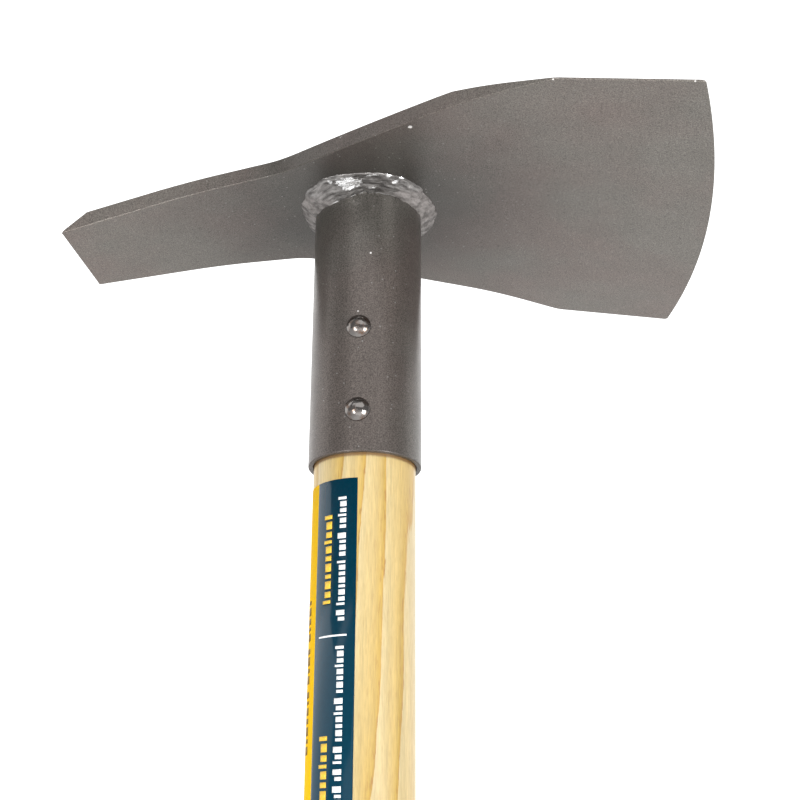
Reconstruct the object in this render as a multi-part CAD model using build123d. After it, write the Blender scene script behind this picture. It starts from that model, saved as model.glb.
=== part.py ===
"""Grub hoe: a double-ended steel head, welded to a socket tube, on a riveted hardwood handle.

Millimetres. The origin is the middle of the handle's butt end. +Z runs up the handle to the
head, +X points to the wide cutting blade, and the rivets' round heads are on the -Y side.
"""
from build123d import *
import os
from math import asin, atan2, cos, sin

os.makedirs("parts", exist_ok=True)

# Handle: a turned 54 inch shaft, 1.5 inches thick
HANDLE_LENGTH = 1372.0
HANDLE_RADIUS = 19.05
BUTT_ROUNDING = 7.0
SOCKETED_LENGTH = 100.0
TOP_CHAMFER = 3.0

# Socket: 42.4 mm tube with a 2 mm wall, cut square and butted against the plate
TUBE_RADIUS = 21.2
TUBE_WALL = 2.0
TUBE_LENGTH = 108.5
RIM_EASE = 0.4
RIM_Z = HANDLE_LENGTH - SOCKETED_LENGTH
PLATE_Z = RIM_Z + TUBE_LENGTH

# Plate: 6.3 mm steel, flat over the socket, with both ends bent down towards the handle
PLATE_THICKNESS = 6.3
TIP_X = -119.0
TIP_DROP = 13.9
PICK_BEND_X = -67.0
PICK_BEND_DROP = 4.2
PICK_BEND_RADIUS = 400.0
NECK_BEND_X = -31.0
NECK_BEND_RADIUS = 150.0
BLADE_BEND_X = 47.0
BLADE_BEND_RADIUS = 200.0
CORNER_X = 124.5
CORNER_DROP = 10.3

# Plate outline: half widths at the pick tip, the neck, the shoulders and the cutting corners
TIP_HALF_WIDTH = 23.0
NECK_X = -30.0
NECK_HALF_WIDTH = 34.3
SHOULDER_X = 75.5
SHOULDER_HALF_WIDTH = 90.2
CORNER_HALF_WIDTH = 92.6
FLARE_BULGE = 1.3
EDGE_SAG = 9.7
NECK_ROUNDING = 14.0
SHOULDER_ROUNDING = 8.0
CORNER_ROUNDING = 1.5
EDGE_EASE = 0.4

# Ground bevels, all on the outer face: the blade's front and sides, and the pick's tip
BEVEL_WIDTH = 16.0
BEVEL_LAND = 0.8
TIP_BEVEL_WIDTH = 10.0
TIP_LAND = 0.7

# Fillet weld round the top of the socket
WELD_LEG_ON_PLATE = 8.5
WELD_LEG_ON_TUBE = 4.0
WELD_BULGE = 1.0

# Rivets: 5 mm steel, a domed head in front and a flatter set tail behind
RIVET_HEIGHTS = {"rivet_lower": 16.1, "rivet_upper": 49.2}
RIVET_RADIUS = 2.5
RIVET_HEAD_RADIUS = 4.6
RIVET_HEAD_HEIGHT = 2.6
RIVET_TAIL_RADIUS = 4.1
RIVET_TAIL_HEIGHT = 1.6
RIVET_SEAT = 1.0
RIVET_SHOULDER = 0.15

# Label: a printed film wrapped round the left of the shaft, a little below the socket
LABEL_THICKNESS = 0.15
LABEL_GAP_BELOW_RIM = 9.4
LABEL_LENGTH = 340.0
LABEL_MIDDLE_ANGLE = 197.0
LABEL_SPREAD_ANGLE = 148.0

# Straight ends of the strip run this far past the outline that trims them
OVERHANG = 20.0
WIDER_THAN_PLATE = 220.0
FRONT_SWEEP_ANGLE = 40.0
PICK_SLOPE = atan2(TIP_DROP - PICK_BEND_DROP, PICK_BEND_X - TIP_X)
BLADE_SLOPE = atan2(CORNER_DROP, CORNER_X - BLADE_BEND_X)


def bent_strip():
    """The plate seen from the side: a flat bar with three bends, wider than the outline."""
    knees = [
        (TIP_X - OVERHANG * cos(PICK_SLOPE), PLATE_Z - TIP_DROP - OVERHANG * sin(PICK_SLOPE)),
        (PICK_BEND_X, PLATE_Z - PICK_BEND_DROP),
        (NECK_BEND_X, PLATE_Z),
        (BLADE_BEND_X, PLATE_Z),
        (
            CORNER_X + OVERHANG * cos(BLADE_SLOPE),
            PLATE_Z - CORNER_DROP - OVERHANG * sin(BLADE_SLOPE),
        ),
    ]
    with BuildSketch(Plane.XZ) as side:
        with BuildLine():
            FilletPolyline(*knees, radius=[PICK_BEND_RADIUS, NECK_BEND_RADIUS, BLADE_BEND_RADIUS])
            offset(amount=PLATE_THICKNESS, side=Side.LEFT)
        make_face()
    return extrude(side.sketch, amount=WIDER_THAN_PLATE / 2, both=True)


def outline():
    """The plate seen from above: a narrow pick, a flared neck and a blade with a round edge."""
    flare_run = SHOULDER_X - NECK_X
    flare_rise = SHOULDER_HALF_WIDTH - NECK_HALF_WIDTH
    flare_x = (NECK_X + SHOULDER_X) / 2 - FLARE_BULGE * sin(atan2(flare_rise, flare_run))
    flare_y = (NECK_HALF_WIDTH + SHOULDER_HALF_WIDTH) / 2
    flare_y += FLARE_BULGE * cos(atan2(flare_rise, flare_run))
    with BuildSketch(Plane.XY.offset(RIM_Z)) as plan:
        with BuildLine():
            Line((TIP_X, -TIP_HALF_WIDTH), (TIP_X, TIP_HALF_WIDTH))
            for hand in (1, -1):
                neck = (NECK_X, hand * NECK_HALF_WIDTH)
                shoulder = (SHOULDER_X, hand * SHOULDER_HALF_WIDTH)
                Line((TIP_X, hand * TIP_HALF_WIDTH), neck)
                ThreePointArc(neck, (flare_x, hand * flare_y), shoulder)
                Line(shoulder, (CORNER_X, hand * CORNER_HALF_WIDTH))
            ThreePointArc(
                (CORNER_X, -CORNER_HALF_WIDTH),
                (CORNER_X + EDGE_SAG, 0),
                (CORNER_X, CORNER_HALF_WIDTH),
            )
        make_face()
        corners = plan.vertices().group_by(Axis.X)
        fillet(corners[3] + corners[0], radius=CORNER_ROUNDING)
        corners = plan.vertices().filter_by(lambda v: abs(v.X - NECK_X) < 0.1)
        fillet(corners, radius=NECK_ROUNDING)
        corners = plan.vertices().filter_by(lambda v: abs(v.X - SHOULDER_X) < 0.1)
        fillet(corners, radius=SHOULDER_ROUNDING)
    return extrude(plan.sketch, amount=TUBE_LENGTH + 2 * PLATE_THICKNESS)


def bevel_section(edge, outward, up, width, land):
    """What a grinder takes off, cut across an edge of the outer face. edge is a point of it."""
    depth = PLATE_THICKNESS - land
    past_edge = width / 2
    plane = Plane(origin=edge, x_dir=outward, z_dir=Vector(outward).cross(Vector(up)))
    with BuildSketch(plane) as section:
        with BuildLine():
            Polyline(
                (-width, 0),
                (past_edge, -depth * (width + past_edge) / width),
                (past_edge, PLATE_THICKNESS),
                (-width, PLATE_THICKNESS),
                close=True,
            )
        make_face()
    return section.sketch


def tip_bevel():
    """The chisel grind across the pick's tip."""
    up = Vector(-sin(PICK_SLOPE), 0, cos(PICK_SLOPE))
    outward = Vector(-cos(PICK_SLOPE), 0, -sin(PICK_SLOPE))
    edge = Vector(TIP_X, 0, PLATE_Z - TIP_DROP) + up * PLATE_THICKNESS
    section = bevel_section(edge, outward, up, TIP_BEVEL_WIDTH, TIP_LAND)
    return extrude(section, amount=WIDER_THAN_PLATE / 2, both=True)


def blade_bevels():
    """The grinds along the blade's front, as a cone, and along its two sides, as flats."""
    up = Vector(sin(BLADE_SLOPE), 0, cos(BLADE_SLOPE))
    forward = Vector(cos(BLADE_SLOPE), 0, -sin(BLADE_SLOPE))
    corner = Vector(CORNER_X, 0, PLATE_Z - CORNER_DROP) + up * PLATE_THICKNESS
    front = corner + forward * EDGE_SAG
    edge_radius = (CORNER_HALF_WIDTH**2 + EDGE_SAG**2) / (2 * EDGE_SAG)
    section = bevel_section(front, forward, up, BEVEL_WIDTH, BEVEL_LAND)
    pivot = Axis(front - forward * edge_radius, up)
    first = section.rotate(pivot, -FRONT_SWEEP_ANGLE / 2)
    cutters = [revolve(first, axis=pivot, revolution_arc=FRONT_SWEEP_ANGLE)]
    run = forward * (CORNER_X - SHOULDER_X)
    for hand in (1, -1):
        across = Vector(0, hand, 0)
        along = (run + across * (CORNER_HALF_WIDTH - SHOULDER_HALF_WIDTH)).normalized()
        outward = along.cross(up) * -hand
        edge = corner + across * CORNER_HALF_WIDTH
        section = bevel_section(edge, outward, up, BEVEL_WIDTH, BEVEL_LAND)
        cutters.append(extrude(section, amount=WIDER_THAN_PLATE / 2, both=True))
    return cutters


def make_blade_plate():
    """The whole head: a flame-cut, bent and ground plate with eased edges."""
    plate = bent_strip() & outline()
    plate -= tip_bevel()
    for cutter in blade_bevels():
        plate -= cutter
    underside = plate.faces().filter_by(lambda f: f.normal_at().Z < -0.9)
    rim = [e for e in underside.edges() if sum(e in f.edges() for f in underside) == 1]
    return fillet(rim, radius=EDGE_EASE)


def along_y(height, radius):
    """A round bar across the socket at a height above its rim."""
    at = Plane.XZ.offset(-WIDER_THAN_PLATE / 2) * Pos(0, RIM_Z + height, 0)
    return at * Cylinder(radius, WIDER_THAN_PLATE, align=(Align.CENTER, Align.CENTER, Align.MIN))


def make_socket_tube(plate):
    """The socket: a tube with both rims eased, bored for the two rivets."""
    base = Pos(0, 0, RIM_Z)
    on_base = (Align.CENTER, Align.CENTER, Align.MIN)
    tube = base * Cylinder(TUBE_RADIUS, TUBE_LENGTH, align=on_base)
    tube -= base * Cylinder(TUBE_RADIUS - TUBE_WALL, TUBE_LENGTH, align=on_base)
    tube = fillet(tube.edges().group_by(Axis.Z)[0], radius=RIM_EASE)
    for height in RIVET_HEIGHTS.values():
        tube -= along_y(height, RIVET_RADIUS)
    return tube - plate


def make_socket_weld(plate):
    """The bead between the tube's top and the plate's underside."""
    toe_on_tube = (TUBE_RADIUS, PLATE_Z - WELD_LEG_ON_TUBE)
    toe_on_plate = (TUBE_RADIUS + WELD_LEG_ON_PLATE, PLATE_Z)
    middle = (
        TUBE_RADIUS + WELD_LEG_ON_PLATE / 2 + WELD_BULGE / 2,
        PLATE_Z - WELD_LEG_ON_TUBE / 2 - WELD_BULGE,
    )
    with BuildSketch(Plane.XZ) as section:
        with BuildLine():
            ThreePointArc(toe_on_tube, middle, toe_on_plate)
            Polyline(toe_on_plate, (TUBE_RADIUS, PLATE_Z), toe_on_tube)
        make_face()
    return revolve(section.sketch, axis=Axis.Z) - plate


def make_handle():
    """The turned shaft, rounded at the butt and chamfered where it enters the socket."""
    shaft = Cylinder(HANDLE_RADIUS, HANDLE_LENGTH, align=(Align.CENTER, Align.CENTER, Align.MIN))
    rings = shaft.edges().filter_by(GeomType.CIRCLE).sort_by(Axis.Z)
    shaft = fillet(rings[0], radius=BUTT_ROUNDING)
    rings = shaft.edges().filter_by(GeomType.CIRCLE).sort_by(Axis.Z)
    shaft = chamfer(rings[-1], length=TOP_CHAMFER)
    for height in RIVET_HEIGHTS.values():
        shaft -= along_y(height, RIVET_RADIUS)
    return shaft


def dome(radius, height):
    """A rivet end's shoulder, the middle of its round side and its crown, from the shaft's axis."""
    shoulder = TUBE_RADIUS + RIVET_SHOULDER * height
    crown = TUBE_RADIUS + height
    rise = crown - shoulder
    ball = (radius**2 + rise**2) / (2 * rise)
    half_angle = asin(radius / ball) / 2
    middle = (ball * sin(half_angle), crown - ball * (1 - cos(half_angle)))
    return (radius, shoulder), middle, (0, crown)


def make_rivet(height):
    """A solid rivet through both tube walls and the shaft, its ends fitting the round tube."""
    foot = TUBE_RADIUS - RIVET_SEAT
    tail = dome(RIVET_TAIL_RADIUS, RIVET_TAIL_HEIGHT)
    head = [(x, -y) for x, y in dome(RIVET_HEAD_RADIUS, RIVET_HEAD_HEIGHT)]
    with BuildSketch(Plane.XY) as half:
        with BuildLine():
            ThreePointArc(*tail)
            Polyline(
                tail[0],
                (RIVET_TAIL_RADIUS, foot),
                (RIVET_RADIUS, foot),
                (RIVET_RADIUS, -foot),
                (RIVET_HEAD_RADIUS, -foot),
                head[0],
            )
            ThreePointArc(*head)
            Line(head[-1], tail[-1])
        make_face()
    rivet = revolve(half.sketch, axis=Axis.Y)
    sleeve = Cylinder(TUBE_RADIUS, 4 * RIVET_HEAD_RADIUS)
    sleeve -= Rot(90, 0, 0) * Cylinder(RIVET_RADIUS, 3 * TUBE_RADIUS)
    return Pos(0, 0, RIM_Z + height) * (rivet - sleeve)


def make_handle_label():
    """The film: a thin curved strip against the shaft."""
    outer = HANDLE_RADIUS + LABEL_THICKNESS
    start = LABEL_MIDDLE_ANGLE - LABEL_SPREAD_ANGLE / 2
    with BuildSketch(Plane.XY.offset(RIM_Z - LABEL_GAP_BELOW_RIM)) as film:
        with BuildLine():
            outside = CenterArc((0, 0), outer, start, LABEL_SPREAD_ANGLE)
            inside = CenterArc((0, 0), HANDLE_RADIUS, start, LABEL_SPREAD_ANGLE)
            Line(outside @ 0, inside @ 0)
            Line(outside @ 1, inside @ 1)
        make_face()
    return extrude(film.sketch, amount=-LABEL_LENGTH)


plate = make_blade_plate()
pieces = {
    "blade_plate": plate,
    "socket_tube": make_socket_tube(plate),
    "socket_weld": make_socket_weld(plate),
    "handle": make_handle(),
    "handle_label": make_handle_label(),
}
for name, height in RIVET_HEIGHTS.items():
    pieces[name] = make_rivet(height)
for name, piece in pieces.items():
    export_step(piece, f"parts/{name}.step")
    print(name, "volume", round(piece.volume), "mm3")
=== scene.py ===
from math import asin, cos, hypot, pi, radians, sin, sqrt

import bmesh
import bpy
from mathutils import Matrix, Vector, noise


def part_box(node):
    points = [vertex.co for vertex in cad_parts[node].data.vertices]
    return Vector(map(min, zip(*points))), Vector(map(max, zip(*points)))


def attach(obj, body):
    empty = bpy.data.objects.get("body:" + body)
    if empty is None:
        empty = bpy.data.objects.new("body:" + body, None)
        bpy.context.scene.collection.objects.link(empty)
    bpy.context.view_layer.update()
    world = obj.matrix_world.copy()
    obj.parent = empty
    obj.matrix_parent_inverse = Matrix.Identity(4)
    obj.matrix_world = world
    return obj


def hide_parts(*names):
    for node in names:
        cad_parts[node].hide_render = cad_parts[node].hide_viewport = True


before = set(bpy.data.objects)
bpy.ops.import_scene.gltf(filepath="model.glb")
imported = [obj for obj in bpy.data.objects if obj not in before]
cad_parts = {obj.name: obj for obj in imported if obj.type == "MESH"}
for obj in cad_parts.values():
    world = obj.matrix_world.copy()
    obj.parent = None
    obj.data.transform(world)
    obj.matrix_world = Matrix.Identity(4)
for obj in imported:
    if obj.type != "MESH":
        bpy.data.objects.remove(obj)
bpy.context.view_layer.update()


# Blade plate
# The whole head is one flame-cut steel plate, bent down at both ends, with the blade's front and
# sides and the pick's tip ground on the outer face. It is coated in a warm grey satin powder.
plate_low, plate_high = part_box("blade_plate")
underside_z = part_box("socket_tube")[1].z
plate_skim = 0.000002
plate_thickness = plate_high.z - underside_z - plate_skim
tip_x = plate_low.x
corner_x = 0.1245
neck_x = -0.0300
shoulder_x = 0.0755
tip_half_width = 0.0230
corner_half_width = 0.0926
drops = [(tip_x, 0.0139), (-0.067, 0.0042), (-0.031, 0.0), (0.047, 0.0), (corner_x, 0.0103)]
drop_eases = [0.0137, 0.0087, 0.0137]
half_widths = [
    (tip_x, tip_half_width),
    (neck_x, 0.0343),
    (shoulder_x, 0.0902),
    (corner_x, corner_half_width),
]
neck_ease = 0.0080
shoulder_ease = 0.0019
flare_bulge = 0.0015
blade_bevel, blade_land = 0.016, 0.0008
tip_bevel, tip_land = 0.010, 0.0007
bevel_corner_x = 0.108
bow_start_x, bow_run = 0.02, 0.08
bend_step = 0.0005
corner_rounding = 0.0014
rim_rounding = 0.00035
edge_sag = plate_high.x - corner_x
edge_radius = (corner_half_width**2 + edge_sag**2) / (2 * edge_sag)
edge_centre_x = plate_high.x - edge_radius
side_slope = (corner_half_width - half_widths[2][1]) / (corner_x - shoulder_x)


def soft_ramp(t, ease):
    """0 before -ease, t after +ease, and a parabola between."""
    if t <= -ease:
        return 0.0
    if t >= ease:
        return t
    return (t + ease) ** 2 / (4 * ease)


def bent_line(x, points, eases):
    """Height at x of straight runs through points, each inner corner eased."""
    slopes = [(b[1] - a[1]) / (b[0] - a[0]) for a, b in zip(points, points[1:])]
    height = points[0][1] + slopes[0] * (x - points[0][0])
    for (corner, _), before, after, ease in zip(points[1:], slopes, slopes[1:], eases):
        height += (after - before) * soft_ramp(x - corner, ease)
    return height


def half_width(x):
    """Half the plate's width at x along its side, which bulges between neck and shoulder."""
    along = min(max((x - neck_x) / (shoulder_x - neck_x), 0.0), 1.0)
    return bent_line(x, half_widths, [neck_ease, shoulder_ease]) + 4 * flare_bulge * along * (1 - along)


def side_gap(x, y):
    """Distance in from the blade's side line, which runs on past the shoulder."""
    return (corner_half_width + side_slope * (x - corner_x) - abs(y)) / hypot(1, side_slope)


def front_gap(x, y):
    """Distance in from the round cutting edge."""
    return edge_radius - hypot(x - edge_centre_x, y)


def thickness_at(x, y):
    """The plate's thickness, thinned by the ground bevels."""
    rise = (plate_thickness - blade_land) / blade_bevel
    tip_rise = (plate_thickness - tip_land) / tip_bevel
    return min(
        plate_thickness,
        blade_land + rise * side_gap(x, y),
        blade_land + rise * front_gap(x, y),
        tip_land + tip_rise * (x - tip_x),
    )


def spread(low, high, count):
    """count even steps from low up to, but not including, high."""
    return [low + (high - low) * i / count for i in range(count)]


def smooth_step(t):
    """0 to 1 as t goes from 0 to 1, level at both ends."""
    t = min(max(t, 0.0), 1.0)
    return t * t * (3 - 2 * t)


def plate_columns():
    """Where each row of the plate's mesh meets its side, closer together at the corners."""
    crest_x = edge_centre_x + sqrt((edge_radius - blade_bevel) ** 2 - half_width(bevel_corner_x) ** 2)
    return [
        *spread(tip_x, tip_x + tip_bevel, 5),
        *spread(tip_x + tip_bevel, neck_x - neck_ease, 32),
        *spread(neck_x - neck_ease, neck_x + neck_ease, 10),
        *spread(neck_x + neck_ease, shoulder_x - shoulder_ease, 40),
        *spread(shoulder_x - shoulder_ease, shoulder_x + shoulder_ease, 4),
        *spread(shoulder_x + shoulder_ease, crest_x, 13),
        *spread(crest_x, corner_x, 7),
        corner_x,
    ]


def plate_point(side_x, across):
    """A place on the plate in plan. Rows are straight at the neck and follow the edge in front."""
    y = across * half_width(side_x)
    radius = hypot(side_x - edge_centre_x, half_width(side_x))
    bow = sqrt(radius**2 - y**2) - (side_x - edge_centre_x)
    return side_x + bow * smooth_step((side_x - bow_start_x) / bow_run), y


def slab(columns, half_rows):
    """A closed flat slab over the outline: floor at z 0, roof at z 1, and a wall all round."""
    bm = bmesh.new()
    rows = [i / half_rows for i in range(-half_rows, half_rows + 1)]
    plan = [[plate_point(x, across) for across in rows] for x in columns]
    floor = [[bm.verts.new((*p, 0)) for p in line] for line in plan]
    roof = [[bm.verts.new((*p, 1)) for p in line] for line in plan]
    last_column, last_row = len(columns) - 1, len(rows) - 1
    for i in range(last_column):
        for j in range(last_row):
            bm.faces.new((floor[i][j], floor[i][j + 1], floor[i + 1][j + 1], floor[i + 1][j]))
            bm.faces.new((roof[i][j], roof[i + 1][j], roof[i + 1][j + 1], roof[i][j + 1]))
    border = [(i, 0) for i in range(last_column)]
    border += [(last_column, j) for j in range(last_row)]
    border += [(i, last_row) for i in range(last_column, 0, -1)]
    border += [(0, j) for j in range(last_row, 0, -1)]
    for (a, b), (c, d) in zip(border, border[1:] + border[:1]):
        bm.faces.new((floor[a][b], floor[c][d], roof[c][d], roof[a][b]))
    return bm


def cut_crests(bm):
    """Cuts the slab along the tops of the side bevels and along the hips at both corners."""
    for hand in (1, -1):
        outward = Vector((-side_slope, hand, 0)).normalized()
        crest = Vector((corner_x, hand * corner_half_width, 0)) - outward * blade_bevel
        bmesh.ops.bisect_plane(bm, geom=bm.verts[:] + bm.edges[:] + bm.faces[:],
                               plane_co=crest, plane_no=outward, dist=2e-5)
        corner = Vector((corner_x, hand * corner_half_width, 0))
        facing = Vector((corner_x - edge_centre_x, hand * corner_half_width, 0)).normalized()
        hip = (facing + outward).normalized()
        near = []
        for face in bm.faces:
            middle = face.calc_center_median()
            gaps = (side_gap(middle.x, middle.y), front_gap(middle.x, middle.y))
            if middle.y * hand > 0 and max(gaps) < blade_bevel:
                near.append(face)
        parts = set(near)
        for face in near:
            parts.update(face.edges)
            parts.update(face.verts)
        bmesh.ops.bisect_plane(bm, geom=list(parts), plane_co=corner,
                               plane_no=hip.cross(Vector((0, 0, 1))), dist=2e-5)


def round_corners(bm):
    """Rounds the four upright corners, then eases every rim and marks it for wear."""
    upright = []
    for edge in bm.edges:
        a, b = edge.verts
        corner = abs(a.co.x - corner_x) < 1e-5 and abs(abs(a.co.y) - corner_half_width) < 1e-4
        tip = abs(a.co.x - tip_x) < 1e-6 and abs(abs(a.co.y) - tip_half_width) < 1e-5
        if (corner or tip) and hypot(a.co.x - b.co.x, a.co.y - b.co.y) < 1e-6:
            upright.append(edge)
    bmesh.ops.bevel(bm, geom=upright, offset=corner_rounding, offset_type="OFFSET", segments=6,
                    profile=0.5, affect="EDGES", clamp_overlap=False)
    rims = [e for e in bm.edges if len(e.link_faces) == 2 and e.calc_face_angle() > radians(40)]
    eased = bmesh.ops.bevel(bm, geom=rims, offset=rim_rounding, offset_type="OFFSET", segments=3,
                            profile=0.5, affect="EDGES", clamp_overlap=False)
    wear = bm.verts.layers.float.new("edge")
    for face in eased["faces"]:
        for vert in face.verts:
            vert[wear] = 1.0


def finish_piece(name, bm, replaced, material, weighted=True):
    """Turns a mesh into a smooth-shaded piece that stands for its CAD node."""
    bmesh.ops.triangulate(bm, faces=[f for f in bm.faces if len(f.verts) > 4])
    bmesh.ops.recalc_face_normals(bm, faces=bm.faces)
    for face in bm.faces:
        face.smooth = True
    mesh = bpy.data.meshes.new(name)
    bm.to_mesh(mesh)
    bm.free()
    piece = bpy.data.objects.new(name, mesh)
    bpy.context.scene.collection.objects.link(piece)
    if weighted:
        normals = piece.modifiers.new("even_normals", "WEIGHTED_NORMAL")
        normals.keep_sharp = True
    mesh.materials.append(material)
    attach(piece, "root")
    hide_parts(replaced)
    return piece


def new_material(name):
    """A node material, its tree and its surface shader."""
    material = bpy.data.materials.new(name)
    material.use_nodes = True
    return material, material.node_tree, material.node_tree.nodes["Principled BSDF"]


def add(tree, kind, inputs=None, **settings):
    """Adds a node. inputs are numbers, colours or the outputs of other nodes."""
    node = tree.nodes.new("ShaderNode" + kind)
    for name, value in settings.items():
        setattr(node, name, value)
    for name, value in (inputs or {}).items():
        if isinstance(value, bpy.types.NodeSocket):
            tree.links.new(value, node.inputs[name])
        else:
            node.inputs[name].default_value = value
    return node


def calc(tree, operation, *values):
    """One sum on numbers or sockets."""
    node = add(tree, "Math", dict(enumerate(values)), operation=operation)
    return node.outputs[0]


def remap(tree, value, low, high, to_low=0.0, to_high=1.0):
    """Stretches low..high to to_low..to_high and holds it there."""
    names = ("Value", "From Min", "From Max", "To Min", "To Max")
    node = add(tree, "MapRange", dict(zip(names, (value, low, high, to_low, to_high))))
    return node.outputs[0]


def mix(tree, amount, first, second):
    """A colour between two others."""
    node = add(tree, "Mix", {0: amount, 6: first, 7: second}, data_type="RGBA")
    return node.outputs[2]


def cloud(tree, place, scale, detail=2.0, roughness=0.5):
    """Soft noise, scale lumps to the metre."""
    inputs = {"Vector": place, "Scale": scale, "Detail": detail, "Roughness": roughness}
    return add(tree, "TexNoise", inputs).outputs["Fac"]


def here(tree, stretch=(1, 1, 1)):
    """The place on the piece in metres, with each axis stretched."""
    place = add(tree, "TexCoord").outputs["Object"]
    return add(tree, "Mapping", {"Vector": place, "Scale": stretch}).outputs[0]


def relief(tree, shader, height, distance, strength=1.0):
    """Bumps the shader by a height that stands for so many metres."""
    inputs = {"Height": height, "Distance": distance, "Strength": strength}
    tree.links.new(add(tree, "Bump", inputs).outputs[0], shader.inputs["Normal"])


def chip(tree, place, centre, reach):
    """1 inside a ragged spot round centre, and 0 outside it."""
    offset = add(tree, "VectorMath", {0: place, 1: centre}, operation="DISTANCE").outputs["Value"]
    ragged = calc(tree, "MULTIPLY_ADD", cloud(tree, place, 1500, 3), reach * 1.6, -reach * 0.8)
    return remap(tree, calc(tree, "ADD", offset, ragged), reach, reach * 0.8)


def ramp(tree, value, stops):
    """A number that follows stops (place from 0 to 1, number up to 2) along value."""
    band = add(tree, "ValToRGB", {"Fac": value})
    blend = band.color_ramp.elements
    blend[0].position, blend[1].position = stops[0][0], stops[-1][0]
    blend[0].color, blend[1].color = [(*[level / 2] * 3, 1) for level in (stops[0][1], stops[-1][1])]
    for position, level in stops[1:-1]:
        blend.new(position).color = (*[level / 2] * 3, 1)
    return calc(tree, "MULTIPLY", band.outputs[0], 2.0)


coat_warm, coat_cool = (0.094, 0.079, 0.071, 1), (0.092, 0.085, 0.076, 1)
coat_speck, bare_steel = (0.21, 0.20, 0.19, 1), (0.66, 0.64, 0.62, 1)
# Painted shade and light on the coat: darker on the plate round the tube and weld, lighter out toward
# both ends.
tube_shade = 1.03
tube_reach = 0.0228
painted_shade_centre = (0, -0.005, 0)
painted_shade_reach = 0.15
painted_shade_stops = [
    (0.000, 0.68), (0.180, 0.71), (0.245, 0.82), (0.300, 1.00), (0.400, 1.27),
    (0.500, 1.52), (0.640, 1.74), (0.850, 1.84),
]


def painted_shade_and_light(tree, place):
    """How light the coat is: painted shade on the plate round the tube and weld, painted light growing
    outward, even on the tube.
    """
    split = add(tree, "SeparateXYZ", {0: place}).outputs
    flat = add(tree, "CombineXYZ", {"X": split[0], "Y": split[1]}).outputs[0]
    from_weld = add(tree, "VectorMath", {0: flat, 1: painted_shade_centre}, operation="DISTANCE")
    along = calc(tree, "DIVIDE", from_weld.outputs["Value"], painted_shade_reach)
    on_plate = ramp(tree, along, painted_shade_stops)
    from_axis = add(tree, "VectorMath", {0: flat}, operation="LENGTH").outputs["Value"]
    near_axis = remap(tree, from_axis, tube_reach, tube_reach - 0.001)
    below_plate = remap(tree, split[2], underside_z - 0.0004, underside_z - 0.0008)
    on_tube = calc(tree, "MULTIPLY", near_axis, below_plate)
    plate_part = calc(tree, "MULTIPLY", on_plate, calc(tree, "SUBTRACT", 1.0, on_tube))
    return calc(tree, "MULTIPLY_ADD", on_tube, tube_shade, plate_part)


def powder_coat(name, chips):
    """Grey satin powder: faint warm and cool clouds, fine flake, orange peel, bare chips, and painted
    shade round the tube with painted light toward the plate's ends.
    """
    material, tree, shader = new_material(name)
    place = here(tree)
    drift = remap(tree, cloud(tree, place, 26, 3), 0.38, 0.62)
    colour = mix(tree, drift, coat_warm, coat_cool)
    patches = remap(tree, cloud(tree, place, 60, 3, 0.5), 0.3, 0.7, 0.95, 1.05)
    grain = remap(tree, cloud(tree, place, 2300, 2, 0.6), 0.34, 0.66, 0.58, 1.42)
    mottle = calc(tree, "MULTIPLY", patches, grain)
    # The coat's mottle is multiplied by the painted shade and light.
    shade = calc(tree, "MULTIPLY", mottle, painted_shade_and_light(tree, place))
    shaded = add(tree, "VectorMath", {0: colour, "Scale": shade}, operation="SCALE").outputs[0]
    speck = add(tree, "TexVoronoi", {"Vector": place, "Scale": 330}).outputs["Distance"]
    speck = remap(tree, speck, 0.12, 0.08)
    rare = remap(tree, cloud(tree, place, 60, 1), 0.44, 0.52)
    speckled = mix(tree, calc(tree, "MULTIPLY", speck, rare), shaded, coat_speck)
    edge = add(tree, "Attribute", attribute_name="edge").outputs["Fac"]
    worn = remap(tree, cloud(tree, place, 420, 4, 0.65), 0.70, 0.74)
    bare = calc(tree, "MULTIPLY", worn, remap(tree, edge, 0.80, 0.97))
    for centre, reach in chips:
        bare = calc(tree, "MAXIMUM", bare, chip(tree, place, centre, reach))
    tree.links.new(mix(tree, bare, speckled, bare_steel), shader.inputs["Base Color"])
    tree.links.new(remap(tree, bare, 0, 1, 0.45, 0.2), shader.inputs["Metallic"])
    satin = remap(tree, cloud(tree, place, 140, 3), 0.3, 0.7, 0.29, 0.36)
    tree.links.new(mix(tree, bare, satin, (0.3, 0.3, 0.3, 1)), shader.inputs["Roughness"])
    peel = calc(tree, "ADD", cloud(tree, place, 520, 2), grain)
    relief(tree, shader, calc(tree, "SUBTRACT", peel, bare), 0.00003, 0.5)
    return material


edge_chips = [
    ((0.0750, -0.0898, underside_z - 0.0036), 0.0004),
    ((0.0732, -0.0900, underside_z - 0.0030), 0.0003),
    ((0.1210, -0.0924, underside_z - 0.0098), 0.0004),
    ((0.0237, -0.0611, underside_z), 0.0009),
    ((0.0042, -0.0208, underside_z - 0.0286), 0.0004),
    ((-0.0003, -0.0212, underside_z - 0.0530), 0.0003),
]
coat = powder_coat("grey_powder_coat", edge_chips)
plate = slab(plate_columns(), 30)
cut_crests(plate)
for vert in plate.verts:
    x, y, roof = vert.co
    slant = 0.0
    if roof > 0.5:
        ahead, behind = (bent_line(x + s, drops, drop_eases) for s in (bend_step, -bend_step))
        slant = hypot(1, (ahead - behind) / (2 * bend_step)) * thickness_at(x, y)
    vert.co.z = underside_z - bent_line(x, drops, drop_eases) + slant
for rim_edge in plate.edges:
    if len(rim_edge.link_faces) == 2 and radians(9) < rim_edge.calc_face_angle() < radians(40):
        rim_edge.smooth = False
round_corners(plate)
finish_piece("plate_body", plate, "blade_plate", coat)


# Socket tube
# A length of welded steel tube, sawn square, with its mouth eased. Its top is butted against the plate
# and its mouth takes the shaft. It has the same powder coat as the plate.
tube_low, tube_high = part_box("socket_tube")
tube_radius = tube_high.x
tube_wall = 0.002
mouth_ease = 0.0005
rim_z = tube_low.z


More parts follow.
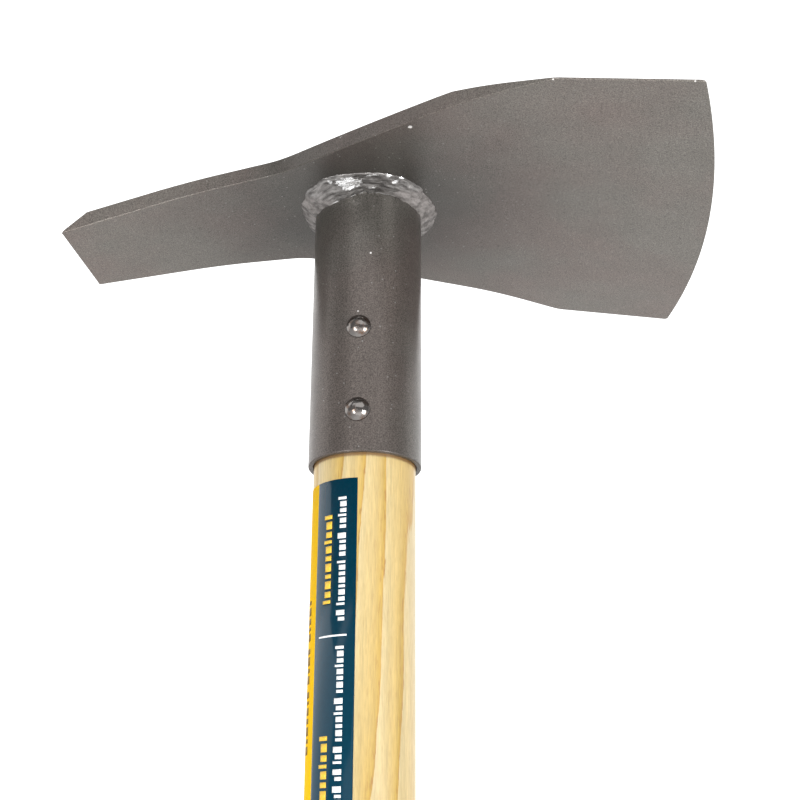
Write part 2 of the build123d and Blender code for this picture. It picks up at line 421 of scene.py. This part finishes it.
def arc(centre_r, centre_z, radius, start, end, steps):
    """Points (distance from the axis, height) along a round corner, angles in degrees."""
    turns = [radians(start + (end - start) * i / steps) for i in range(steps + 1)]
    return [(centre_r + radius * cos(t), centre_z + radius * sin(t)) for t in turns]


def turned(profile, steps, closed):
    """A mesh swept round the Z axis from (distance from the axis, height) points."""
    bm = bmesh.new()
    rings = []
    for r, z in profile:
        if r < 1e-7:
            rings.append([bm.verts.new((0, 0, z))] * steps)
            continue
        turns = [2 * pi * i / steps for i in range(steps)]
        rings.append([bm.verts.new((r * cos(t), r * sin(t), z)) for t in turns])
    pairs = list(zip(rings, rings[1:]))
    if closed:
        pairs.append((rings[-1], rings[0]))
    for lower, upper in pairs:
        for i in range(steps):
            j = (i + 1) % steps
            around = dict.fromkeys((lower[i], lower[j], upper[j], upper[i]))
            bm.faces.new(list(around))
    return bm


outer_rows = [(tube_radius, rim_z + h) for h in (0.0012, 0.0025)]
outer_rows += [(tube_radius, rim_z + h) for h in spread(0.005, tube_high.z - rim_z, 30)]
inner_radius = tube_radius - tube_wall
tube_profile = [
    (inner_radius, tube_high.z),
    (inner_radius, rim_z + 0.0015),
    *arc(inner_radius + mouth_ease, rim_z + mouth_ease, mouth_ease, 180, 270, 4),
    *arc(tube_radius - mouth_ease, rim_z + mouth_ease, mouth_ease, 270, 360, 4),
    *outer_rows,
    (tube_radius, tube_high.z),
]
tube = turned(tube_profile, 192, closed=True)
mouth_wear = tube.verts.layers.float.new("edge")
for vert in tube.verts:
    vert[mouth_wear] = 1.0 if vert.co.z < rim_z + 0.0008 else 0.0
finish_piece("socket", tube, "socket_tube", coat)


# Socket weld
# A hand-laid fillet bead in the corner of tube and plate, wide and flat, lumpy and finely streaked.
# The coat is thin over its front, where highlights are painted in white as one patch, small glints and
# a broken line at the tube's toe, and it lies matt over the lumps at its two sides.
weld_widths = [
    (-180, 0.0048), (-150, 0.0066), (-132, 0.0092), (-112, 0.0112), (-62, 0.0110), (-42, 0.0092),
    (-28, 0.0064), (25, 0.0062), (60, 0.0075), (120, 0.0080), (180, 0.0048),
]
weld_tube_legs = [
    (-180, 0.0030), (-150, 0.0044), (-122, 0.0046), (-104, 0.0037), (-86, 0.0023), (-60, 0.0023),
    (-30, 0.0034), (20, 0.0040), (120, 0.0030), (180, 0.0030),
]
weld_face = 0.011
weld_crown = 0.0009
weld_sink = 0.0003


def round_bead(values, angle):
    """A size of the bead at an angle, in degrees, round the tube."""
    for (a, low), (b, high) in zip(values, values[1:]):
        if a <= angle <= b:
            return low + (high - low) * smooth_step((angle - a) / (b - a))


def weld_bead(steps, rows):
    """The bead's ring of cross sections: a lumpy face, closed behind inside tube and plate."""
    bm = bmesh.new()
    rings = []
    for i in range(steps):
        degrees = -180 + 360 * i / steps
        turn = radians(degrees)
        across = Vector((cos(turn), sin(turn), 0))
        wander = noise.noise(across * 5.0) * 0.0007 + noise.noise(across * 17.0) * 0.0005
        reach = round_bead(weld_widths, degrees) + wander
        leg = round_bead(weld_tube_legs, degrees)
        leg += noise.noise(across * 8.0 + Vector((3, 5, 1))) * 0.0006
        ring = []
        for j in range(rows + 1):
            t = j / rows
            swell = sin(pi * t) ** 0.7
            out = tube_radius + reach * t
            drop = leg * (1 - t) ** 1.6 + weld_crown * swell
            lumps = noise.fractal(across * out * 130, 1.0, 2.1, 2) * 0.0007
            streaks = noise.noise(Vector((turn * tube_radius * 260, out * 900, 4))) * 0.0003
            pits = abs(noise.noise(across * out * 420 + Vector((0, 0, 7)))) * 0.00012
            drop += (lumps + streaks + pits) * swell
            if j == rows:
                drop = -weld_sink
            ring.append(bm.verts.new((*(across * out).xy, underside_z - drop)))
        back = across * (tube_radius - 2 * weld_sink)
        ring.append(bm.verts.new((*back.xy, underside_z + weld_sink)))
        ring.append(bm.verts.new((*back.xy, underside_z - leg)))
        rings.append(ring)
    count = rows + 3
    run = bm.loops.layers.uv.new("bead")
    for i in range(steps):
        a, b = rings[i], rings[(i + 1) % steps]
        for j in range(count):
            k = (j + 1) % count
            face = bm.faces.new((a[j], a[k], b[k], b[j]))
            for loop, place in zip(face.loops, ((i, j), (i, k), (i + 1, k), (i + 1, j))):
                loop[run].uv = (2 * pi * tube_radius * place[0] / steps, weld_face * place[1] / rows)
    return bm


def painted_highlight_spot(tree, place, centre, half_size, raggedness):
    """1 inside a ragged oval spot on the bead where a highlight is painted, and 0 outside it."""
    middle, reach = (*centre, underside_z), (*half_size, painted_glint_depth)
    shifted = add(tree, "VectorMath", {0: place, 1: middle}, operation="SUBTRACT").outputs[0]
    scaled = add(tree, "VectorMath", {0: shifted, 1: reach}, operation="DIVIDE").outputs[0]
    away = add(tree, "VectorMath", {0: scaled}, operation="LENGTH").outputs["Value"]
    ragged = calc(tree, "MULTIPLY_ADD", cloud(tree, place, raggedness, 3), 1.6, -0.8)
    return remap(tree, calc(tree, "ADD", away, ragged), 1.1, 0.85)


painted_glint_depth = 0.02
# Painted highlights: white base colour put on the bead in one patch and in small glints where
# highlights stand.
painted_highlight_patch = ((-0.0038, -0.0276), (0.0045, 0.0028))
painted_glints = [
    ((-0.0112, -0.0278), (0.0009, 0.0009)),
    ((0.0060, -0.0306), (0.0022, 0.0004)),
    ((0.0118, -0.0292), (0.0009, 0.0008)),
    ((0.0170, -0.0272), (0.0013, 0.0008)),
    ((0.0138, -0.0258), (0.0012, 0.0007)),
    ((0.0046, -0.0242), (0.0018, 0.0005)),
]
matt_hollow, matt_crest = (0.098, 0.089, 0.083, 1), (0.250, 0.230, 0.220, 1)
dull_hollow, dull_crest = (0.10, 0.093, 0.088, 1), (0.34, 0.325, 0.315, 1)
painted_highlight_white = (1.0, 1.0, 1.0, 1)
matt_finish = (0.55, 0.55, 0.55, 1)


def weld_metal():
    """Dark streaked metal in front with one painted highlight patch, painted glints and a painted
    highlight line at the toe, matt pale grey at the sides.
    """
    material, tree, shader = new_material("coated_weld")
    place = here(tree)
    along = add(tree, "UVMap", uv_map="bead").outputs[0]
    streaked = add(tree, "Mapping", {"Vector": along, "Scale": (1, 3.2, 1)}).outputs[0]
    split = add(tree, "SeparateXYZ", {0: place}).outputs
    patches = remap(tree, cloud(tree, place, 290, 4, 0.6), 0.40, 0.60)
    streaks = cloud(tree, streaked, 190, 4, 0.6)
    matt = mix(tree, patches, matt_hollow, matt_crest)
    dull = mix(tree, remap(tree, streaks, 0.35, 0.65), dull_hollow, dull_crest)
    # Painted highlight patch, broken up by the streaks.
    painted_patch_mask = painted_highlight_spot(tree, place, *painted_highlight_patch, 900)
    painted_highlights = calc(tree, "MULTIPLY", remap(tree, streaks, 0.28, 0.40), painted_patch_mask)
    for centre, half_size in painted_glints:
        painted_glint = painted_highlight_spot(tree, place, centre, half_size, 1500)
        painted_highlights = calc(tree, "MAXIMUM", painted_highlights, painted_glint)
    # Painted highlight: a broken white line along the bead's toe on the tube.
    painted_toe_highlight = remap(tree, add(tree, "SeparateXYZ", {0: along}).outputs[1], 0.0007, 0.0004)
    broken = remap(tree, cloud(tree, place, 260, 2), 0.46, 0.54)
    painted_highlights = calc(tree, "MAXIMUM", painted_highlights, calc(tree, "MULTIPLY", painted_toe_highlight, broken))
    dull_and_painted_highlights = mix(tree, painted_highlights, dull, painted_highlight_white)
    ragged = calc(tree, "MULTIPLY_ADD", cloud(tree, place, 130, 3), 0.016, -0.008)
    front = remap(tree, calc(tree, "ADD", split[1], ragged), -0.0165, -0.0205)
    tree.links.new(mix(tree, front, matt, dull_and_painted_highlights), shader.inputs["Base Color"])
    tree.links.new(remap(tree, front, 0, 1, 0.25, 0.8), shader.inputs["Metallic"])
    satin = remap(tree, painted_highlights, 0, 1, 0.30, 0.18)
    tree.links.new(mix(tree, front, matt_finish, satin), shader.inputs["Roughness"])
    fine = calc(tree, "MULTIPLY_ADD", cloud(tree, place, 700, 3, 0.6), 0.35, streaks)
    lumpy = calc(tree, "MULTIPLY_ADD", cloud(tree, place, 320, 3, 0.6), 0.9, fine)
    relief(tree, shader, lumpy, 0.0008, 0.7)
    return material


finish_piece("weld_bead", weld_bead(540, 26), "socket_weld", weld_metal(), False)


# Shaft
# A turned ash shaft, straight-grained, sanded and lacquered. Its chamfered end is driven into the
# socket, and its butt is rounded. Ring lines and open pores run nearly true to its length.
shaft_low, shaft_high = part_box("handle")
shaft_radius = shaft_high.x
butt_rounding = 0.007
end_chamfer = 0.003
ring_spacing = 0.0085
grain_lean = -0.042
ring_stops = [
    (0.00, (0.525, 0.420, 0.222, 1)),
    (0.25, (0.520, 0.398, 0.182, 1)),
    (0.55, (0.505, 0.370, 0.148, 1)),
    (0.80, (0.475, 0.328, 0.100, 1)),
    (0.92, (0.455, 0.300, 0.068, 1)),
    (0.98, (0.420, 0.250, 0.050, 1)),
    (1.00, (0.530, 0.425, 0.222, 1)),
]
pore_brown, painted_gap_shade_brown = (0.33, 0.175, 0.045, 1), (0.16, 0.08, 0.03, 1)


def ash(name):
    """Pale earlywood that deepens to a golden ring line, with short pores beside the line, and shade
    painted in dark brown where the shaft enters the socket.
    """
    material, tree, shader = new_material(name)
    place = here(tree)
    split = add(tree, "SeparateXYZ", {0: place})
    x, y, z = split.outputs
    up = calc(tree, "SUBTRACT", z, rim_z)
    wander = calc(tree, "MULTIPLY_ADD", cloud(tree, here(tree, (9, 9, 1)), 9, 3), 0.0064, -0.0032)
    lean = calc(tree, "MULTIPLY_ADD", up, grain_lean, x)
    bowed = calc(tree, "MULTIPLY_ADD", calc(tree, "MULTIPLY", y, y), -3.0, lean)
    rings = calc(tree, "MULTIPLY", calc(tree, "ADD", bowed, wander), 1 / ring_spacing)
    frayed = calc(tree, "MULTIPLY_ADD", cloud(tree, here(tree, (1, 1, 0.10)), 900, 4, 0.7), 0.12, 0.70)
    ring = calc(tree, "FRACT", calc(tree, "ADD", rings, frayed))
    band = add(tree, "ValToRGB", {"Fac": ring})
    blend = band.color_ramp.elements
    blend[0].color, blend[1].color = ring_stops[0][1], ring_stops[-1][1]
    for position, colour in ring_stops[1:-1]:
        blend.new(position).color = colour
    fibre = cloud(tree, here(tree, (1, 1, 0.07)), 1900, 4, 0.7)
    streak = cloud(tree, here(tree, (1, 1, 0.02)), 420, 3, 0.6)
    tone = calc(tree, "MULTIPLY", remap(tree, fibre, 0.3, 0.7, 0.84, 1.14),
                remap(tree, streak, 0.3, 0.7, 0.90, 1.08))
    wood = add(tree, "VectorMath", {0: band.outputs[0], "Scale": tone}, operation="SCALE").outputs[0]
    pore = remap(tree, cloud(tree, here(tree, (1, 1, 0.13)), 1700, 2, 0.4), 0.56, 0.66)
    early = remap(tree, ring, 0.78, 0.97, 0.16, 0.95)
    pores = calc(tree, "MULTIPLY", pore, early)
    wood = mix(tree, pores, wood, pore_brown)
    # Painted shade: a thin ragged dark brown band on the wood at the socket's mouth, where the gap lies
    # in shade.
    ragged = calc(tree, "MULTIPLY", cloud(tree, place, 900), 0.0006)
    painted_gap_shade = remap(tree, calc(tree, "ADD", up, ragged), -0.0011, -0.0003)
    wood = mix(tree, calc(tree, "MULTIPLY", painted_gap_shade, 0.85), wood, painted_gap_shade_brown)
    tree.links.new(wood, shader.inputs["Base Color"])
    tree.links.new(remap(tree, fibre, 0.3, 0.7, 0.46, 0.36), shader.inputs["Roughness"])
    shader.inputs["Coat Weight"].default_value = 0.25
    shader.inputs["Coat Roughness"].default_value = 0.3
    relief(tree, shader, calc(tree, "SUBTRACT", fibre, pores), 0.00006, 0.5)
    return material


shaft_profile = [
    (0, shaft_low.z),
    (shaft_radius - butt_rounding, shaft_low.z),
    *arc(shaft_radius - butt_rounding, shaft_low.z + butt_rounding, butt_rounding, -80, 0, 9),
    *[(shaft_radius, z) for z in spread(shaft_low.z + 0.02, shaft_high.z - end_chamfer, 60)],
    (shaft_radius, shaft_high.z - end_chamfer),
    (shaft_radius - end_chamfer, shaft_high.z),
    (0, shaft_high.z),
]
shaft_body = turned(shaft_profile, 160, closed=False)
finish_piece("shaft", shaft_body, "handle", ash("lacquered_ash"))


# Rivets
# Two solid steel rivets go right through socket and shaft. Each has a polished round head in front
# and a lower set tail behind, both with the small flats and dents that the setting hammer leaves.
rivet_nodes = ("rivet_lower", "rivet_upper")
rivet_head_radius = 0.0046
rivet_tail_radius = 0.0041
rivet_shank_radius = 0.0025
rivet_seat = 0.0009
rivet_lip = 0.0002
hammer_dent = 0.00016
polished_steel, brown_smear = (0.23, 0.215, 0.205, 1), (0.15, 0.10, 0.075, 1)


def dome(radius, height, steps):
    """A cap from its rim in to its crown, as (distance from the axis, height) points."""
    ball = (radius**2 + height**2) / (2 * height)
    reach = asin(min(1.0, radius / ball))
    turns = [reach * (1 - i / steps) for i in range(steps + 1)]
    return [(ball * sin(t), height - ball * (1 - cos(t))) for t in turns]


def rivet_steel(name):
    """Dark polished steel, smeared brown, with faint scuffs."""
    material, tree, shader = new_material(name)
    place = here(tree)
    smear = remap(tree, cloud(tree, place, 330, 4, 0.6), 0.48, 0.66)
    colour = mix(tree, smear, polished_steel, brown_smear)
    tree.links.new(colour, shader.inputs["Base Color"])
    shader.inputs["Metallic"].default_value = 1.0
    tree.links.new(remap(tree, smear, 0, 1, 0.15, 0.28), shader.inputs["Roughness"])
    relief(tree, shader, cloud(tree, place, 900, 3), 0.00008, 0.5)
    return material


steel = rivet_steel("set_rivet_steel")
for number, node in enumerate(rivet_nodes):
    rivet_low, rivet_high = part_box(node)
    middle_z = (rivet_low.z + rivet_high.z) / 2
    head_crown = -rivet_low.y
    tail_crown = rivet_high.y
    head = dome(rivet_head_radius, head_crown - tube_radius - rivet_lip, 14)
    tail = dome(rivet_tail_radius, tail_crown - tube_radius - rivet_lip, 10)
    rivet_profile = [
        *[(r, -(tube_radius + rivet_lip + h)) for r, h in reversed(head)],
        (rivet_head_radius, -(tube_radius - rivet_seat)),
        (rivet_shank_radius, -(tube_radius - rivet_seat)),
        (rivet_shank_radius, tube_radius - rivet_seat),
        (rivet_tail_radius, tube_radius - rivet_seat),
        *[(r, tube_radius + rivet_lip + h) for r, h in tail],
    ]
    rivet = turned(rivet_profile, 72, closed=False)
    for vert in rivet.verts:
        r, along = hypot(vert.co.x, vert.co.y), vert.co.z
        if abs(along) > tube_radius:
            dent = noise.noise(vert.co * 420 + Vector((number * 5, 0, 0))) * hammer_dent
            along -= (abs(dent) if along > 0 else -abs(dent))
        vert.co = Vector((vert.co.x, along, vert.co.y + middle_z))
    finish_piece(node + "_set", rivet, node, steel, False)


# Label
# A printed gloss film wrapped round the shaft's left side: a yellow band behind, a deep teal band
# in front. Its print is plain bars, laid along the shaft in two lines with a short white rule.
label_low, label_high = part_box("handle_label")
label_radius = shaft_radius + 0.00012
print_lift = 0.00003
film_depth, print_depth = 0.00016, 0.00005
label_start, label_split, label_end = 123, 219, 271
rule_drop, rule_height, rule_span = 0.0562, 0.0006, (226.5, 262)
white_type, yellow_type, dark_type = 0.0020, 0.0029, 0.0030


def film_strip(bm, angles, heights, radius, depth, ink):
    """A thin closed strip bent round the shaft, between two angles and two heights."""
    steps = max(2, int(abs(angles[1] - angles[0]) / 2.5))
    turns = [radians(angles[0] + (angles[1] - angles[0]) * i / steps) for i in range(steps + 1)]
    shells = []
    for r in (radius, radius - depth):
        shells.append([[bm.verts.new((r * cos(t), r * sin(t), z)) for z in heights] for t in turns])
    outer, inner = shells
    made = []
    for i in range(steps):
        made.append((outer[i][0], outer[i + 1][0], outer[i + 1][1], outer[i][1]))
        made.append((inner[i][0], inner[i][1], inner[i + 1][1], inner[i + 1][0]))
        for k in (0, 1):
            made.append((outer[i][k], inner[i][k], inner[i + 1][k], outer[i + 1][k]))
    for i in (0, steps):
        made.append((outer[i][0], outer[i][1], inner[i][1], inner[i][0]))
    for corners in made:
        bm.faces.new(corners).material_index = ink


def print_line(bm, top, bottom, angles, words, size, ink):
    """A line of short upright bars, in word-like groups, running down the shaft from the top."""
    z = top
    widths = (0.50, 0.95, 0.72, 0.40, 0.88, 0.62, 1.0)
    bars = 0
    for count in words:
        for letter in range(count):
            bar = size * widths[bars % len(widths)]
            tall = bars % 7 == 3 or letter == 0
            low = angles[0] if tall else angles[0] + (angles[1] - angles[0]) * 0.24
            if z - bar < bottom:
                return
            film_strip(bm, (low, angles[1]), (z - bar, z), label_radius + print_lift, print_depth, ink)
            z -= bar + size * 0.34
            bars += 1
        z -= size * 0.55


def film(name, colour, gloss, shine):
    """Printed film: an even ink with the least mottle, and a faint waviness."""
    material, tree, shader = new_material(name)
    place = here(tree)
    ink = remap(tree, cloud(tree, place, 800, 3, 0.6), 0.3, 0.7, 0.93, 1.07)
    tinted = add(tree, "VectorMath", {0: colour, "Scale": ink}, operation="SCALE").outputs[0]
    tree.links.new(tinted, shader.inputs["Base Color"])
    tree.links.new(remap(tree, ink, 0.93, 1.07, gloss * 0.85, gloss * 1.15), shader.inputs["Roughness"])
    shader.inputs["Specular IOR Level"].default_value = shine
    relief(tree, shader, cloud(tree, here(tree, (1, 1, 0.2)), 150, 2), 0.00003, 0.25)
    return material


inks = [
    film("film_yellow", (0.84, 0.50, 0.008), 0.6, 0.015),
    film("film_teal", (0.0004, 0.037, 0.067), 0.12, 0.20),
    film("ink_white", (0.86, 0.88, 0.89), 0.3, 0.3),
    film("ink_yellow", (0.78, 0.50, 0.05), 0.3, 0.3),
    film("ink_dark", (0.20, 0.12, 0.02), 0.5, 0.1),
]
label = bmesh.new()
label_top, label_bottom = label_high.z, label_low.z
heights = (label_bottom, label_top)
film_strip(label, (label_start, label_split), heights, label_radius, film_depth, 0)
film_strip(label, (label_split, label_end), heights, label_radius, film_depth, 1)
rule_top = label_top - rule_drop
rule_heights = (rule_top - rule_height, rule_top)
film_strip(label, rule_span, rule_heights, label_radius + print_lift, print_depth, 2)
white_rows, yellow_rows, dark_rows = (249.5, 259), (231.5, 242), (193, 207)
print_line(label, label_top - 0.0068, rule_top + 0.004, white_rows, (6, 4, 8, 6), white_type, 2)
print_line(label, label_top - 0.0130, label_top - 0.046, yellow_rows, (12,), yellow_type, 3)
third = (rule_top - label_bottom) / 3
for part in range(3):
    start = rule_top - 0.004 - part * third
    words = (8, 7, 3, 2, 6, 9, 4, 5)
    print_line(label, start, start - third + 0.01, white_rows, words, white_type, 2)
    print_line(label, start - 0.030, start - 0.062, yellow_rows, (9,), yellow_type, 3)
for part in range(4):
    start = label_top - 0.042 - part * 0.07
    print_line(label, start, start - 0.06, dark_rows, (5, 4, 7), dark_type, 4)
label_piece = finish_piece("label_film", label, "handle_label", inks[0], False)
for ink in inks[1:]:
    label_piece.data.materials.append(ink)


# Floor
# A plain pale studio floor, just under the shaft's butt. It is not part of the tool, so it is not
# attached to the tool's body.
floor_radius, floor_sides = 40.0, 96
floor_gap = 0.0005
floor_mesh = bpy.data.meshes.new("floor")
rim = [2 * pi * i / floor_sides for i in range(floor_sides)]
floor_mesh.from_pydata([(floor_radius * cos(t), floor_radius * sin(t), 0) for t in rim], [],
                       [tuple(range(floor_sides))])
floor = bpy.data.objects.new("floor", floor_mesh)
floor.location.z = -floor_gap
bpy.context.scene.collection.objects.link(floor)
paper, paper_tree, paper_shader = new_material("pale_paper")
paper_tone = remap(paper_tree, cloud(paper_tree, here(paper_tree), 3, 2), 0.3, 0.7, 0.82, 0.84)
paper_tree.links.new(paper_tone, paper_shader.inputs["Base Color"])
paper_shader.inputs["Roughness"].default_value = 0.9
floor_mesh.materials.append(paper)


# Studio light
# White paper stands behind and at both sides of the tool, and the room in front of it is dim.
# Four soft boxes light its front: two from below at the sides, one from above, one from below.
scene = bpy.context.scene
scene.view_settings.view_transform = "Standard"
studio = bpy.data.worlds.new("studio")
scene.world = studio
studio.use_nodes = True
tree = studio.node_tree
dark_side = radians(285.5)
direction = add(tree, "TexCoord").outputs["Generated"]
toward = (cos(dark_side), sin(dark_side), 0)
facing = add(tree, "VectorMath", {0: direction, 1: toward}, operation="DOT_PRODUCT").outputs["Value"]
lit = remap(tree, facing, 0.08, 0.02, 0.33, 1.6)
seen = add(tree, "LightPath").outputs["Is Camera Ray"]
strength = calc(tree, "MAXIMUM", lit, calc(tree, "MULTIPLY", seen, 1.1))
tree.links.new(strength, tree.nodes["Background"].inputs["Strength"])
tree.nodes["Background"].inputs["Color"].default_value = (1, 1, 1, 1)
head = Vector((0, 0, rim_z + 0.03))


def soft_box(name, azimuth, elevation, distance, size, power):
    """An area light aimed at the head, at an azimuth from +X and an elevation, in degrees."""
    lamp = bpy.data.lights.new(name, "AREA")
    lamp.shape = "RECTANGLE"
    lamp.size, lamp.size_y = size
    lamp.energy = power
    box = bpy.data.objects.new(name, lamp)
    a, e = radians(azimuth), radians(elevation)
    away = Vector((cos(a) * cos(e), sin(a) * cos(e), sin(e)))
    box.location = head + away * distance
    box.rotation_euler = away.to_track_quat("Z", "Y").to_euler()
    scene.collection.objects.link(box)


soft_box("box_left", 243, -14, 1.5, (0.45, 0.6), 10)
soft_box("box_right", 322, -17, 1.5, (0.45, 0.6), 16)
soft_box("box_high", 283, 35, 1.8, (2.6, 1.2), 12)
soft_box("box_low", 283, -30, 1.6, (1.3, 0.9), 3)


# Camera
# It looks up at the head from below, a little to the right of the shaft, and leans by a quarter
# of a degree. Angles are in degrees here and distances in metres.
target = Vector((0.01314, 0, rim_z + 0.02732))
yaw, climb, roll = radians(6.85), radians(21.42), radians(0.26)
camera_distance = 0.5024
back = Vector((sin(yaw) * cos(climb), -cos(yaw) * cos(climb), -sin(climb)))
camera = bpy.data.objects.new("camera", bpy.data.cameras.new("camera"))
scene.collection.objects.link(camera)
camera.data.sensor_width = 36
camera.data.lens = 59.35
camera.data.clip_start = 0.01
camera.location = target + back * camera_distance
camera.rotation_mode = "QUATERNION"
upright = (-back).to_track_quat("-Z", "Y")
camera.rotation_quaternion = upright @ Matrix.Rotation(roll, 3, "Z").to_quaternion()
scene.camera = camera
